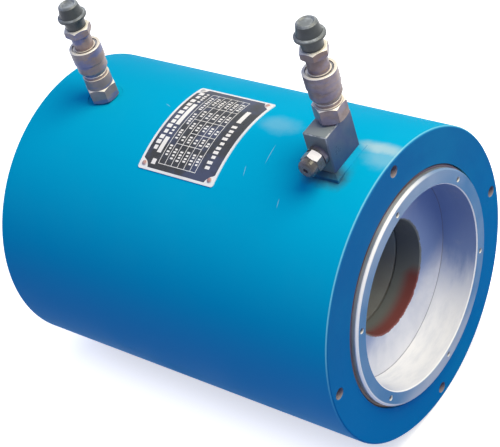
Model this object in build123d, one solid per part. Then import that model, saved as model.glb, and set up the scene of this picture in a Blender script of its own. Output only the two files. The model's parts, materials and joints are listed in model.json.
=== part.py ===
from build123d import *
import os
from math import degrees, sqrt

# Feed-through hydraulic jack. The jack's axis is X and the base face lies in x = 0,
# with the ram coming out of the other end towards +X and the oil nozzles pointing up, +Z.
# All lengths are in millimetres.

# Barrel
barrel_od = 285.0
barrel_length = 370.0
barrel_wall = 22.5
base_thickness = 55.0
barrel_edge = 1.5
base_rim_wall = 47.5
base_recess_depth = 12.0

# Centre tube, which keeps the oil off the strands
through_bore = 105.0
tube_od = 140.0
tube_gap_to_lip = 2.0
tube_flange_od = 160.0
tube_flange_thick = 10.0
tube_slot_width = 12.0
tube_slot_depth = 4.0
tube_slot_bite = 8.0
tube_slot_count = 4
tube_nose_length = 4.0
tube_nose_drop = 3.0
tube_ring_setback = 12.0

# Ram
ram_inset = 13.5
ram_standout = 5.0
ram_edge = 1.5
piston_length = 65.0
piston_skirt_depth = 11.0
piston_skirt_length = 15.0
anchor_ring_wall = 14.0
anchor_seat_depth = 36.0
ram_lip_thick = 25.0
lip_hole_d = 105.4

# Gland at the ram's end of the barrel
gland_thread_step = 3.0
gland_ring_length = 20.0
seal_plate_length = 18.0
plate_flange_thick = 3.0
plate_flange_gap = 1.2
stop_skirt_wall = 5.0
stop_skirt_length = 11.4
gland_mouth_step = 3.1

# Rings and seals
seal_width = 9.0
seal_depth = 5.0
guide_width = 10.0
guide_depth = 3.0
rod_guide_width = 5.0
piston_land = 4.0
inner_land = 10.0
gland_land = 2.0
wiper_width = 6.0
wiper_depth = 5.5
wiper_lip = 4.0
wiper_lip_thick = 1.2
static_ring_width = 4.0
static_ring_depth = 3.0

# Tapped holes in the end faces
end_hole_inset = 10.5
base_hole_inset = 22.5
end_hole_d = 10.2
end_hole_depth = 22.0
end_hole_count = 4
end_hole_clocking = 2.0
ram_hole_inset = 7.5
ram_hole_d = 5.0
ram_hole_depth = 14.0
ram_hole_count = 6
ram_hole_clocking = -6.0
hole_chamfer = 0.45
drill_point_slope = 0.58

# Oil ports
port_a_from_base = 62.5
port_b_from_face = 43.5
port_thread_d = 14.0
port_thread_depth = 12.0
oil_drill_d = 8.0
port_spot_d = 34.0

# Valve block under the return nozzle
block_length = 23.0
block_reach_front = 25.2
block_reach_back = 13.0
block_height = 37.4
block_shift = -2.6
block_edge = 1.0
block_seat_height = 3.5
block_seat_rim = 0.7
block_seat_slope = 3.3
foot_ring_width = 1.0
foot_ring_height = 1.6
relief_height = 20.0
relief_bore_d = 10.0
relief_passage_d = 5.0
relief_thread_d = 14.0
relief_thread_length = 6.0
relief_hex_af = 17.0
relief_collar_d = 19.0
relief_collar_length = 4.5
relief_hex_length = 9.5
relief_nose_length = 6.5
relief_nose_step = 0.3
relief_nose_round = 2.5
relief_nose_edge = 0.8
relief_dimple_r = 2.2
relief_dimple_floor_r = 1.6
relief_dimple_depth = 1.5
relief_flat_angle = 36.0
relief_seat_thick = 2.0
relief_seat_hole_d = 3.6
relief_wall = 2.5
relief_poppet_d = 6.0
relief_disc_thick = 1.2
relief_pin_r = 1.2
relief_pin_length = 3.0
relief_wire = 0.9
relief_turns = 6.0
relief_hollow_end = 8.0

# Nozzle adapters
adapter_hex_af = 25.0
adapter_hex_height = 15.0
adapter_hex_turn_a = 25.0
adapter_hex_turn_b = 30.0
adapter_neck_d = 24.8
adapter_neck_a = 11.1
adapter_neck_b = 0.8
adapter_spigot_d = 16.0
adapter_spigot_length = 6.2
adapter_bore_d = 6.0
adapter_cross_hole_d = 3.4
washer_d = 20.0
washer_thick = 1.5

# Quick coupler, heights counted from the lower end of its socket
socket_flange_d = 22.0
socket_flange_height = 2.6
socket_cone_height = 0.4
socket_stem_d = 21.2
socket_guide_d = 22.8
socket_guide_start = 7.5
socket_guide_end = 11.5
socket_nose_d = 19.8
socket_top = 31.7
socket_bore_d = 15.0
socket_chamber_d = 11.0
socket_chamber_end = 15.5
socket_seat_end = 17.5
socket_seat_d = 8.0
sleeve_start = 5.7
sleeve_length = 26.5
sleeve_od = 29.0
sleeve_lower_od = 27.4
sleeve_lower_length = 11.0
sleeve_toe = 2.5
sleeve_dish = 0.4
sleeve_lip = 0.8
sleeve_rib_start = 21.5
sleeve_free_step = 0.2
sleeve_toe_wall = 0.6
sleeve_edge = 0.6
sleeve_rim = 0.9
lock_land = 0.8
ball_height = 23.9
ball_d = 3.5
ball_count = 4
stop_ring_height = 30.2
stop_ring_thick = 0.9
stop_ring_bite = 0.6
stop_ring_gap = 2.0
nose_seal_height = 18.8
nose_seal_width = 2.0
nose_seal_r = 8.8
sleeve_spring_wire = 1.1
sleeve_spring_turns = 4.0

# Plug half of the coupler and its cap
plug_nose_end = 17.8
plug_nose_d = 14.4
plug_neck_d = 18.0
plug_neck_length = 14.0
plug_hex_af = 22.0
plug_hex_height = 7.5
plug_thread_d = 16.0
plug_thread_length = 14.0
plug_chamber_d = 9.2
plug_mouth_d = 6.0
plug_seat_height = 21.5
plug_seat_rise = 1.6
plug_nose_edge = 0.8
plug_flow_gap = 0.5
plug_head_thick = 1.8
poppet_meet_height = 20.0
poppet_stem_d = 3.2
poppet_pin_r = 1.8
poppet_pin_length = 2.0
poppet_head_length = 2.0
poppet_head_edge = 0.8
poppet_nose_rise = 0.6
poppet_flow_gap = 0.7
poppet_opening = 1.5
poppet_spring_wire = 0.8
poppet_spring_turns = 3.0
spring_seat_height = 35.5
spring_seat_thick = 2.0
cap_collar_d = 19.0
cap_collar_height = 9.7
cap_flange_d = 26.0
cap_flange_height = 3.0
cap_cup_foot_d = 21.4
cap_cup_top_d = 16.8
cap_height = 24.1
cap_dish = 1.2
cap_taper = 0.5
cap_round = 0.6
cap_flange_slope = 1.4
cap_rim = 1.6

# Nameplate
plate_length = 83.5
plate_from_face = 142.0
plate_width = 105.7
plate_turn = -3.75
plate_thick = 0.8
plate_corner = 2.5
rivet_inset = 5.5
rivet_head_d = 5.6
rivet_head_height = 1.6
rivet_shank_d = 3.0
rivet_shank_length = 5.0

# Hexagons and turned edges
hex_flat_share = 0.97
hex_corner_slope = 0.6
turned_edge = 1.0

# Clearances
slide_gap = 0.3
guide_gap = 0.1
seat_gap = 0.05
groove_gap = 0.1
thread_end_gap = 0.5
# How far a cutting tool passes the face that it leaves by
overrun = 1.0

# Places that follow from the sizes above
barrel_r = barrel_od / 2
bore_r = barrel_r - barrel_wall
ram_r = bore_r - ram_inset
tube_r = tube_od / 2
thread_r = bore_r + gland_thread_step
mouth_r = ram_r + gland_mouth_step
anchor_seat_r = ram_r - anchor_ring_wall
base_recess_r = barrel_r - base_rim_wall
end_hole_r = barrel_r - end_hole_inset
base_hole_r = barrel_r - base_hole_inset
ram_hole_r = ram_r - ram_hole_inset
port_a_x = port_a_from_base
port_b_x = barrel_length - port_b_from_face
ram_face_x = barrel_length + ram_standout
seat_floor_x = ram_face_x - anchor_seat_depth
lip_back_x = seat_floor_x - ram_lip_thick
tube_end_x = lip_back_x - tube_gap_to_lip
piston_back_x = base_thickness + slide_gap
piston_front_x = piston_back_x + piston_length
gland_back_x = barrel_length - gland_ring_length
seal_plate_back_x = gland_back_x - seal_plate_length
# The piston stops just short of the skirt, which leaves a stroke of 200
stop_end_x = seal_plate_back_x - stop_skirt_length
rod_clear_r = ram_r + slide_gap
plate_r = bore_r - seat_gap
block_x = port_b_x + block_shift
block_seat_z = barrel_r + block_seat_height
block_top = block_seat_z + block_height
stem_clear_r = port_thread_d / 2 + slide_gap
foot_ring_r = stem_clear_r + foot_ring_width
foot_ring_top = block_seat_z + foot_ring_height
spot_depth = barrel_r - sqrt(barrel_r**2 - (port_spot_d / 2) ** 2)
port_a_seat = barrel_r - spot_depth
relief_z = block_top - relief_height
# The valve's own axis points out of the block's front face, and its depths inside are negative
relief_place = Plane(
    origin=(block_x, -block_reach_front, relief_z), x_dir=(1, 0, 0), z_dir=(0, -1, 0)
)
relief_seat_back = stem_clear_r + relief_wall - block_reach_front
relief_seat_front = relief_seat_back + relief_seat_thick
sleeve_end = sleeve_start + sleeve_length
plug_neck_start = socket_top + slide_gap
plug_hex_start = plug_neck_start + plug_neck_length
plug_thread_start = plug_hex_start + plug_hex_height
plug_top = plug_thread_start + plug_thread_length
stem_a_length = port_thread_depth - spot_depth - thread_end_gap
stem_b_length = block_height + port_thread_depth - thread_end_gap
plate_half_angle = degrees(plate_width / 2 / barrel_r)
plate_angle_front = plate_turn - plate_half_angle
plate_angle_back = plate_turn + plate_half_angle


def turned_x(*profile):
    return revolve(make_face(Polyline(*profile, close=True)), Axis.X)


def turned_z(*profile):
    return revolve(Plane.XZ * make_face(Polyline(*profile, close=True)), Axis.Z)


def band_x(x0, x1, r0, r1):
    return turned_x((x0, r0), (x1, r0), (x1, r1), (x0, r1))


def band_z(z0, z1, r0, r1):
    return turned_z((r0, z0), (r0, z1), (r1, z1), (r1, z0))


def rod_z(z0, z1, r):
    return turned_z((0, z0), (0, z1), (r, z1), (r, z0))


def drilled(radius, depth, chamfer_size):
    # A hole seen from its mouth at z = 0, going down, with a drill point
    point = radius * drill_point_slope
    return turned_z(
        (0, 0),
        (radius + chamfer_size, 0),
        (radius, -chamfer_size),
        (radius, -depth),
        (0, -depth - point),
    )


def around_x(x, radius, angle, outward, shape):
    # Places a shape that points up so that it points along the axis, at an angle from +Z to +Y
    place = Pos(x, 0, 0) * Rot(-angle, 0, 0) * Pos(0, 0, radius)
    return place * Rot(0, 90 * outward, 0) * shape


def circle_of_holes(x, radius, count, clocking, outward, tool):
    return [
        around_x(x, radius, clocking + 360 / count * i, outward, tool) for i in range(count)
    ]


def hex_bar(across_flats, z0, z1, chamfer_top=True, chamfer_bottom=True):
    # Hexagon with its corners turned down, as on a nut
    bar = Pos(0, 0, z0) * extrude(
        RegularPolygon(across_flats / 2, 6, major_radius=False), z1 - z0
    )
    corner_r = across_flats / sqrt(3)
    flat_r = across_flats / 2 * hex_flat_share
    drop = (corner_r - flat_r) * hex_corner_slope
    top_r = flat_r if chamfer_top else corner_r
    bottom_r = flat_r if chamfer_bottom else corner_r
    turned = turned_z(
        (0, z0),
        (bottom_r, z0),
        (corner_r, z0 + drop),
        (corner_r, z1 - drop),
        (top_r, z1),
        (0, z1),
    )
    return bar & turned


def coil(mean_r, wire, z0, z1, turns):
    pitch = (z1 - z0 - wire) / turns
    line = Pos(0, 0, z0 + wire / 2) * Helix(pitch, z1 - z0 - wire, mean_r)
    section = Plane(line @ 0, x_dir=(0, 0, 1), z_dir=line % 0) * Rectangle(wire, wire)
    return sweep(section, line, is_frenet=True)


def barrel():
    body = turned_x(
        (0, base_recess_r),
        (0, barrel_r - barrel_edge),
        (barrel_edge, barrel_r),
        (barrel_length - barrel_edge, barrel_r),
        (barrel_length, barrel_r - barrel_edge),
        (barrel_length, thread_r + seat_gap),
        (gland_back_x, thread_r + seat_gap),
        (gland_back_x, bore_r),
        (base_thickness, bore_r),
        (base_thickness, tube_r + seat_gap),
        (base_recess_depth + tube_flange_thick, tube_r + seat_gap),
        (base_recess_depth + tube_flange_thick, tube_flange_od / 2 + seat_gap),
        (base_recess_depth, tube_flange_od / 2 + seat_gap),
        (base_recess_depth, base_recess_r),
    )
    body += block_seat()
    ring_x0 = tube_ring_x()
    body -= band_x(
        ring_x0 - groove_gap,
        ring_x0 + static_ring_width + groove_gap,
        tube_r - seat_gap,
        tube_r + seat_gap + static_ring_depth,
    )
    end_hole = drilled(end_hole_d / 2, end_hole_depth, hole_chamfer)
    cuts = circle_of_holes(
        barrel_length, end_hole_r, end_hole_count, end_hole_clocking, 1, end_hole
    )
    cuts += circle_of_holes(0, base_hole_r, end_hole_count, 0, -1, end_hole)
    spot = Pos(port_a_x, 0, port_a_seat) * rod_z(0, 2 * spot_depth, port_spot_d / 2)
    thread = rod_z(-port_thread_depth, overrun, port_thread_d / 2)
    thread_a = Pos(port_a_x, 0, port_a_seat) * thread
    thread_b = Pos(port_b_x, 0, block_seat_z) * thread
    oil = rod_z(bore_r - overrun, block_seat_z - port_thread_depth + overrun, oil_drill_d / 2)
    cuts += [spot, thread_a, thread_b, Pos(port_a_x, 0, 0) * oil, Pos(port_b_x, 0, 0) * oil]
    pin_hole = rod_z(-rivet_shank_length - seat_gap, overrun, rivet_shank_d / 2 + seat_gap)
    cuts += [place * pin_hole for place in rivet_places(barrel_r)]
    return body - cuts


def block_footprint(rim):
    # The block's outline, grown by a rim all round, in the plane of its seat
    width = block_reach_front + block_reach_back
    middle_y = (block_reach_back - block_reach_front) / 2
    outline = Rectangle(block_length + 2 * rim, width + 2 * rim)
    return Pos(block_x, middle_y, block_seat_z) * outline


def block_seat():
    # Pad on the barrel with a flat top, which reaches down to the middle of the wall
    foot = block_footprint(block_seat_rim + block_seat_slope)
    pad = extrude(foot, -block_seat_height - barrel_wall / 2)
    return chamfer(pad.faces().sort_by(Axis.Z)[-1].edges(), block_seat_slope)


def tube_ring_x():
    return base_thickness - tube_ring_setback


def centre_tube():
    flange_back = base_recess_depth
    flange_front = base_recess_depth + tube_flange_thick
    tube = turned_x(
        (flange_back, through_bore / 2 + turned_edge),
        (flange_back, tube_flange_od / 2 - turned_edge),
        (flange_back + turned_edge, tube_flange_od / 2),
        (flange_front, tube_flange_od / 2),
        (flange_front, tube_r),
        (tube_end_x - tube_nose_length, tube_r),
        (tube_end_x, tube_r - tube_nose_drop),
        (tube_end_x, through_bore / 2),
        (flange_back + turned_edge, through_bore / 2),
    )
    slot = Pos(flange_back, 0, tube_flange_od / 2) * Box(
        2 * tube_slot_depth, tube_slot_width, 2 * tube_slot_bite
    )
    step = 360 / tube_slot_count
    return tube - [Rot(step * (i + 0.5), 0, 0) * slot for i in range(tube_slot_count)]


def ram():
    lip_r = lip_hole_d / 2
    inner_r = tube_r + slide_gap
    skirt_r = bore_r - piston_skirt_depth
    skirt_x = piston_back_x + piston_skirt_length
    head_r = bore_r - slide_gap
    body = turned_x(
        (piston_back_x, inner_r),
        (piston_back_x, skirt_r),
        (skirt_x, skirt_r),
        (skirt_x, head_r),
        (piston_front_x, head_r),
        (piston_front_x, ram_r),
        (ram_face_x - ram_edge, ram_r),
        (ram_face_x, ram_r - ram_edge),
        (ram_face_x, anchor_seat_r + turned_edge),
        (ram_face_x - turned_edge, anchor_seat_r),
        (seat_floor_x, anchor_seat_r),
        (seat_floor_x, lip_r + turned_edge),
        (seat_floor_x - turned_edge, lip_r),
        (lip_back_x, lip_r),
        (lip_back_x, inner_r),
    )
    grooves = [ring_groove(x, w, head_r, -guide_depth) for x, w in piston_guides()]
    seal_x, seal_w = piston_seal_place()
    grooves.append(ring_groove(seal_x, seal_w, head_r, -seal_depth))
    grooves.append(ring_groove(seal_x, seal_w, inner_r, seal_depth))
    guide_x, guide_w = inner_guide_place()
    grooves.append(ring_groove(guide_x, guide_w, inner_r, guide_depth))
    screw_hole = drilled(ram_hole_d / 2, ram_hole_depth, hole_chamfer / 2)
    screws = circle_of_holes(
        ram_face_x, ram_hole_r, ram_hole_count, ram_hole_clocking, 1, screw_hole
    )
    return body - grooves - screws


def ring_groove(x, width, surface_r, depth):
    # A groove that opens at surface_r and goes outwards for a positive depth, inwards for a negative one
    floor_r = surface_r + depth + (groove_gap if depth > 0 else -groove_gap)
    mouth_r = surface_r - overrun if depth > 0 else surface_r + overrun
    low, high = sorted((floor_r, mouth_r))
    return band_x(x - groove_gap, x + width + groove_gap, low, high)


def piston_guides():
    first = piston_back_x + piston_skirt_length + piston_land
    last = piston_front_x - guide_width - piston_land
    return [(first, guide_width), (last, guide_width)]


def piston_seal_place():
    first, last = (x for x, width in piston_guides())
    middle = (first + last + guide_width) / 2
    return middle - seal_width / 2, seal_width


def inner_guide_place():
    seal_x, seal_w = piston_seal_place()
    return seal_x - guide_width - inner_land, guide_width


def piston_ring(x, width, depth, gap):
    outer_r = bore_r - gap
    return band_x(x, x + width, bore_r - slide_gap - depth, outer_r)


def tube_side_ring(x, width, depth, gap):
    inner_r = tube_r + gap
    return band_x(x, x + width, inner_r, tube_r + slide_gap + depth)


def piston_guide_rings():
    return [piston_ring(x, width, guide_depth, guide_gap) for x, width in piston_guides()]


def piston_seal():
    return piston_ring(*piston_seal_place(), seal_depth, slide_gap / 2)


def inner_guide_ring():
    return tube_side_ring(*inner_guide_place(), guide_depth, guide_gap)


def inner_seal():
    return tube_side_ring(*piston_seal_place(), seal_depth, slide_gap / 2)


def rod_guide_x():
    return seal_plate_back_x + gland_land


def rod_seal_x():
    return rod_guide_x() + rod_guide_width + gland_land


def plate_ring_x():
    return seal_plate_back_x + (seal_plate_length - static_ring_width) / 2


def wiper_x():
    return barrel_length - wiper_lip - wiper_width


def gland_ring():
    back = gland_back_x + plate_flange_thick
    mouth_x = barrel_length - wiper_lip
    body = turned_x(
        (back, rod_clear_r),
        (back, thread_r - turned_edge),
        (back + turned_edge, thread_r),
        (barrel_length, thread_r),
        (barrel_length, mouth_r),
        (mouth_x, mouth_r),
        (mouth_x, rod_clear_r),
    )
    groove_r = rod_clear_r + wiper_depth + groove_gap
    return body - band_x(wiper_x() - groove_gap, mouth_x, rod_clear_r - overrun, groove_r)


def seal_plate():
    flange_end = gland_back_x + plate_flange_thick
    body = turned_x(
        (stop_end_x, rod_clear_r),
        (stop_end_x, rod_clear_r + stop_skirt_wall),
        (seal_plate_back_x, rod_clear_r + stop_skirt_wall),
        (seal_plate_back_x, plate_r - turned_edge),
        (seal_plate_back_x + turned_edge, plate_r),
        (gland_back_x, plate_r),
        (gland_back_x, thread_r - plate_flange_gap),
        (flange_end, thread_r - plate_flange_gap),
        (flange_end, rod_clear_r),
    )
    body -= ring_groove(rod_guide_x(), rod_guide_width, rod_clear_r, guide_depth)
    body -= ring_groove(rod_seal_x(), seal_width, rod_clear_r, seal_depth)
    return body - ring_groove(plate_ring_x(), static_ring_width, plate_r, -static_ring_depth)


def rod_guide_ring():
    x = rod_guide_x()
    return band_x(x, x + rod_guide_width, ram_r + guide_gap, rod_clear_r + guide_depth)


def rod_seal():
    x = rod_seal_x()
    return band_x(x, x + seal_width, ram_r + slide_gap / 2, rod_clear_r + seal_depth)


def wiper():
    heel_end = barrel_length - wiper_lip - groove_gap
    lip_r = mouth_r
    return turned_x(
        (wiper_x(), rod_clear_r),
        (wiper_x(), rod_clear_r + wiper_depth),
        (heel_end, rod_clear_r + wiper_depth),
        (heel_end, rod_clear_r + wiper_lip_thick),
        (barrel_length - wiper_lip_thick, lip_r - wiper_lip_thick),
        (barrel_length - wiper_lip_thick / 2, rod_clear_r),
    )


def plate_static_ring():
    x = plate_ring_x()
    return band_x(x, x + static_ring_width, plate_r - static_ring_depth, plate_r)


def tube_static_ring():
    x = tube_ring_x()
    return band_x(x, x + static_ring_width, tube_r + seat_gap, tube_r + static_ring_depth)


def valve_block():
    block = extrude(block_footprint(0), block_height)
    block = chamfer(block.edges().filter_by(Axis.Z), block_edge)
    block = chamfer(block.faces().sort_by(Axis.Z)[-1].edges(), block_edge)
    over = Pos(port_b_x, 0, 0)
    stem_hole = over * rod_z(block_seat_z - overrun, block_top + overrun, stem_clear_r)
    ring_room = over * rod_z(
        block_seat_z - overrun, foot_ring_top + groove_gap, foot_ring_r + groove_gap
    )
    valve_bore = relief_place * turned_z(
        (0, overrun),
        (relief_thread_d / 2, overrun),
        (relief_thread_d / 2, -relief_thread_length),
        (relief_bore_d / 2, -relief_thread_length),
        (relief_bore_d / 2, relief_seat_back),
        (relief_passage_d / 2, relief_seat_back),
        (relief_passage_d / 2, -block_reach_front),
        (0, -block_reach_front),
    )
    return block - [stem_hole, ring_room, valve_bore]


def block_foot_ring():
    return Pos(port_b_x, 0, 0) * band_z(block_seat_z, foot_ring_top, stem_clear_r, foot_ring_r)


def relief_seat():
    return relief_place * band_z(
        relief_seat_back, relief_seat_front, relief_seat_hole_d / 2, relief_bore_d / 2 - seat_gap
    )


def relief_poppet():
    nose_r = relief_seat_hole_d / 2 - slide_gap
    nose_end = relief_seat_back + slide_gap
    face = relief_seat_front + groove_gap
    return relief_place * turned_z(
        (0, nose_end),
        (nose_r, nose_end),
        (nose_r, face),
        (relief_poppet_d / 2, face),
        (relief_poppet_d / 2, face + relief_disc_thick),
        (relief_pin_r, face + relief_disc_thick),
        (relief_pin_r, face + relief_disc_thick + relief_pin_length),
        (0, face + relief_disc_thick + relief_pin_length),
    )


def relief_spring():
    start = relief_seat_front + 2 * groove_gap + relief_disc_thick
    end = relief_hollow_end - groove_gap
    mean_r = relief_pin_r + slide_gap + relief_wire / 2
    return relief_place * coil(mean_r, relief_wire, start, end, relief_turns)


def relief_cap():
    nose_r = relief_hex_af / 2 - relief_nose_step
    hex_end = relief_collar_length + relief_hex_length
    nose_end = hex_end + relief_nose_length
    nose = turned_z(
        (0, hex_end),
        (nose_r, hex_end),
        (nose_r, nose_end - relief_nose_round),
        (nose_r - relief_nose_edge, nose_end - relief_nose_edge),
        (nose_r - relief_nose_round, nose_end),
        (relief_dimple_r, nose_end),
        (relief_dimple_floor_r, nose_end - relief_dimple_depth),
        (0, nose_end - relief_dimple_depth),
    )
    hexagon = Rot(0, 0, relief_flat_angle) * hex_bar(
        relief_hex_af, relief_collar_length, hex_end
    )
    collar = rod_z(0, relief_collar_length, relief_collar_d / 2)
    thread = rod_z(-relief_thread_length + thread_end_gap, 0, relief_thread_d / 2 - seat_gap)
    hollow_r = relief_poppet_d / 2 + slide_gap
    hollow = rod_z(-relief_thread_length, relief_hollow_end, hollow_r)
    return relief_place * (collar + hexagon + nose + thread - hollow)


def adapter(stem_length, hex_turn, neck_length, cross_hole_height):
    # Counted from the face that its washer sits on
    hex_top = washer_thick + adapter_hex_height
    neck_top = hex_top + neck_length
    spigot_top = neck_top + adapter_spigot_length
    stem_r = port_thread_d / 2 - seat_gap
    body = Rot(0, 0, hex_turn) * hex_bar(adapter_hex_af, washer_thick, hex_top)
    body += rod_z(-stem_length, washer_thick, stem_r)
    body += turned_z(
        (0, hex_top),
        (adapter_neck_d / 2, hex_top),
        (adapter_neck_d / 2, neck_top),
        (adapter_spigot_d / 2 - seat_gap, neck_top),
        (adapter_spigot_d / 2 - seat_gap, spigot_top),
        (0, spigot_top),
    )
    body -= rod_z(-stem_length - overrun, spigot_top + overrun, adapter_bore_d / 2)
    if cross_hole_height:
        body -= Pos(0, 0, cross_hole_height) * Rot(90, 0, 0) * Cylinder(
            adapter_cross_hole_d / 2, port_thread_d + 2 * overrun
        )
    return body


def sealing_washer():
    return band_z(0, washer_thick, port_thread_d / 2 + seat_gap, washer_d / 2)


def socket_body():
    thread_hole_r = adapter_spigot_d / 2
    nose_r = socket_nose_d / 2
    ring_r = nose_r - stop_ring_bite
    seal_top = nose_seal_height + nose_seal_width
    body = turned_z(
        (thread_hole_r, 0),
        (socket_flange_d / 2, 0),
        (socket_flange_d / 2, socket_flange_height),
        (socket_stem_d / 2, socket_flange_height + socket_cone_height),
        (socket_stem_d / 2, socket_guide_start),
        (socket_guide_d / 2, socket_guide_start),
        (socket_guide_d / 2, socket_guide_end),
        (nose_r, socket_guide_end),
        (nose_r, stop_ring_height - groove_gap),
        (ring_r, stop_ring_height - groove_gap),
        (ring_r, stop_ring_height + stop_ring_thick + groove_gap),
        (nose_r, stop_ring_height + stop_ring_thick + groove_gap),
        (nose_r, socket_top),
        (socket_bore_d / 2, socket_top),
        (socket_bore_d / 2, seal_top + groove_gap),
        (nose_seal_r + groove_gap, seal_top + groove_gap),
        (nose_seal_r + groove_gap, nose_seal_height - groove_gap),
        (socket_bore_d / 2, nose_seal_height - groove_gap),
        (socket_bore_d / 2, socket_seat_end),
        (socket_seat_d / 2, socket_seat_end),
        (socket_chamber_d / 2, socket_chamber_end),
        (socket_chamber_d / 2, adapter_spigot_length),
        (thread_hole_r, adapter_spigot_length),
    )
    ball_hole = Pos(0, 0, ball_height) * Rot(0, 90, 0) * Cylinder(
        ball_d / 2 + seat_gap, socket_nose_d, align=(Align.CENTER, Align.CENTER, Align.MIN)
    )
    return body - [Rot(0, 0, 360 / ball_count * i) * ball_hole for i in range(ball_count)]


def coupler_sleeve():
    guide_r = socket_guide_d / 2 + slide_gap
    lock_r = socket_nose_d / 2 + slide_gap
    free_r = guide_r + sleeve_free_step
    outer_r = sleeve_od / 2
    lower_r = sleeve_lower_od / 2
    step = sleeve_start + sleeve_lower_length
    lip_top = stop_ring_height - slide_gap
    lock_top = ball_height + lock_land
    return turned_z(
        (guide_r, sleeve_start),
        (guide_r + sleeve_toe_wall, sleeve_start),
        (lower_r, sleeve_start + sleeve_toe),
        (lower_r, step),
        (outer_r, step + outer_r - lower_r),
        (outer_r, sleeve_end - sleeve_edge),
        (outer_r - sleeve_edge, sleeve_end),
        (outer_r - sleeve_rim, sleeve_end),
        (free_r, sleeve_end - sleeve_dish),
        (free_r, lip_top),
        (lock_r, lip_top),
        (lock_r, lip_top - sleeve_lip),
        (free_r, lip_top - sleeve_lip),
        (free_r, lock_top),
        (lock_r, lock_top),
        (lock_r, sleeve_rib_start),
        (guide_r, sleeve_rib_start),
    )


def lock_balls():
    reach = socket_nose_d / 2 + slide_gap - groove_gap - ball_d / 2
    ball = Pos(reach, 0, ball_height) * Sphere(ball_d / 2)
    return Compound([Rot(0, 0, 360 / ball_count * i) * ball for i in range(ball_count)])


def sleeve_stop_ring():
    inner_r = socket_nose_d / 2 - stop_ring_bite + seat_gap
    outer_r = socket_guide_d / 2
    ring = band_z(stop_ring_height, stop_ring_height + stop_ring_thick, inner_r, outer_r)
    gap = Pos(outer_r, 0, stop_ring_height) * Box(outer_r, stop_ring_gap, 3 * stop_ring_thick)
    return ring - gap


def sleeve_spring():
    start = socket_guide_end + groove_gap
    end = sleeve_rib_start - groove_gap
    mean_r = socket_nose_d / 2 + slide_gap + sleeve_spring_wire / 2
    return coil(mean_r, sleeve_spring_wire, start, end, sleeve_spring_turns)


def nose_seal():
    top = nose_seal_height + nose_seal_width
    return band_z(nose_seal_height, top, plug_nose_d / 2 + seat_gap, nose_seal_r)


def socket_poppet():
    head_top = socket_chamber_end - poppet_opening
    head_r = socket_chamber_d / 2 - poppet_flow_gap
    head_back = head_top - poppet_head_length
    return turned_z(
        (0, head_back - poppet_pin_length),
        (poppet_pin_r, head_back - poppet_pin_length),
        (poppet_pin_r, head_back),
        (head_r, head_back),
        (head_r, head_top - poppet_head_edge),
        (poppet_stem_d / 2, head_top + poppet_nose_rise),
        (poppet_stem_d / 2, poppet_meet_height),
        (0, poppet_meet_height),
    )


def socket_poppet_spring():
    start = adapter_spigot_length + groove_gap
    end = socket_chamber_end - poppet_opening - poppet_head_length - groove_gap
    mean_r = poppet_pin_r + slide_gap + poppet_spring_wire / 2
    return coil(mean_r, poppet_spring_wire, start, end, poppet_spring_turns)


def plug_body():
    nose_r = plug_nose_d / 2
    groove_r = socket_nose_d / 2 + slide_gap - ball_d - 2 * groove_gap
    neck_r = plug_neck_d / 2
    body = turned_z(
        (plug_mouth_d / 2, plug_nose_end),
        (nose_r - plug_nose_edge, plug_nose_end),
        (nose_r, plug_nose_end + plug_nose_edge),
        (nose_r, ball_height - ball_d / 2),
        (groove_r, ball_height - ball_d / 3),
        (groove_r, ball_height + ball_d / 3),
        (nose_r, ball_height + ball_d / 2),
        (nose_r, plug_neck_start),
        (neck_r, plug_neck_start),
        (neck_r, plug_hex_start),
        (plug_chamber_d / 2, plug_hex_start),
        (plug_chamber_d / 2, plug_seat_height + plug_seat_rise),
        (plug_mouth_d / 2, plug_seat_height),
    )
    body += hex_bar(plug_hex_af, plug_hex_start, plug_thread_start)
    nipple_r = plug_thread_d / 2
    body += turned_z(
        (0, plug_thread_start),
        (nipple_r, plug_thread_start),
        (nipple_r, plug_top - turned_edge),
        (nipple_r - turned_edge, plug_top),
        (0, plug_top),
    )
    return body - rod_z(plug_hex_start - overrun, plug_top + overrun, plug_chamber_d / 2)


def plug_poppet():
    seat_top = plug_seat_height + plug_seat_rise
    head_r = plug_chamber_d / 2 - plug_flow_gap
    back = seat_top + poppet_opening + plug_head_thick
    return turned_z(
        (0, poppet_meet_height + seat_gap),
        (poppet_stem_d / 2, poppet_meet_height + seat_gap),
        (poppet_stem_d / 2, plug_seat_height + poppet_opening),
        (head_r, seat_top + poppet_opening),
        (head_r, back),
        (poppet_pin_r, back),
        (poppet_pin_r, back + poppet_pin_length),
        (0, back + poppet_pin_length),
    )


def plug_poppet_spring():
    head_back = plug_seat_height + plug_seat_rise + poppet_opening + plug_head_thick
    start = head_back + groove_gap
    end = spring_seat_height - groove_gap
    mean_r = poppet_pin_r + slide_gap + poppet_spring_wire / 2
    return coil(mean_r, poppet_spring_wire, start, end, poppet_spring_turns)


def plug_spring_seat():
    top = spring_seat_height + spring_seat_thick
    return band_z(spring_seat_height, top, poppet_pin_r, plug_chamber_d / 2 - seat_gap)


def dust_cap():
    foot = plug_thread_start + slide_gap
    flange = foot + cap_collar_height
    cup = flange + cap_flange_height
    top = foot + cap_height
    inner_r = plug_thread_d / 2 + slide_gap
    inner_top = plug_top + slide_gap
    collar_r = cap_collar_d / 2
    flange_r = cap_flange_d / 2
    cup_top_r = cap_cup_top_d / 2
    return turned_z(
        (inner_r, foot),
        (collar_r - cap_taper, foot),
        (collar_r, flange - cap_round),
        (flange_r - cap_flange_slope, flange),
        (flange_r, flange + cap_round),
        (flange_r, cup - cap_round),
        (flange_r - cap_round, cup),
        (cap_cup_foot_d / 2, cup + cap_taper),
        (cup_top_r + cap_taper, top - cap_rim),
        (cup_top_r - cap_round, top - cap_taper),
        (cup_top_r - cap_rim, top),
        (cup_top_r - 2 * cap_rim, top - cap_dish),
        (0, top - cap_dish),
        (0, inner_top),
        (inner_r, inner_top),
    )


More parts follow.
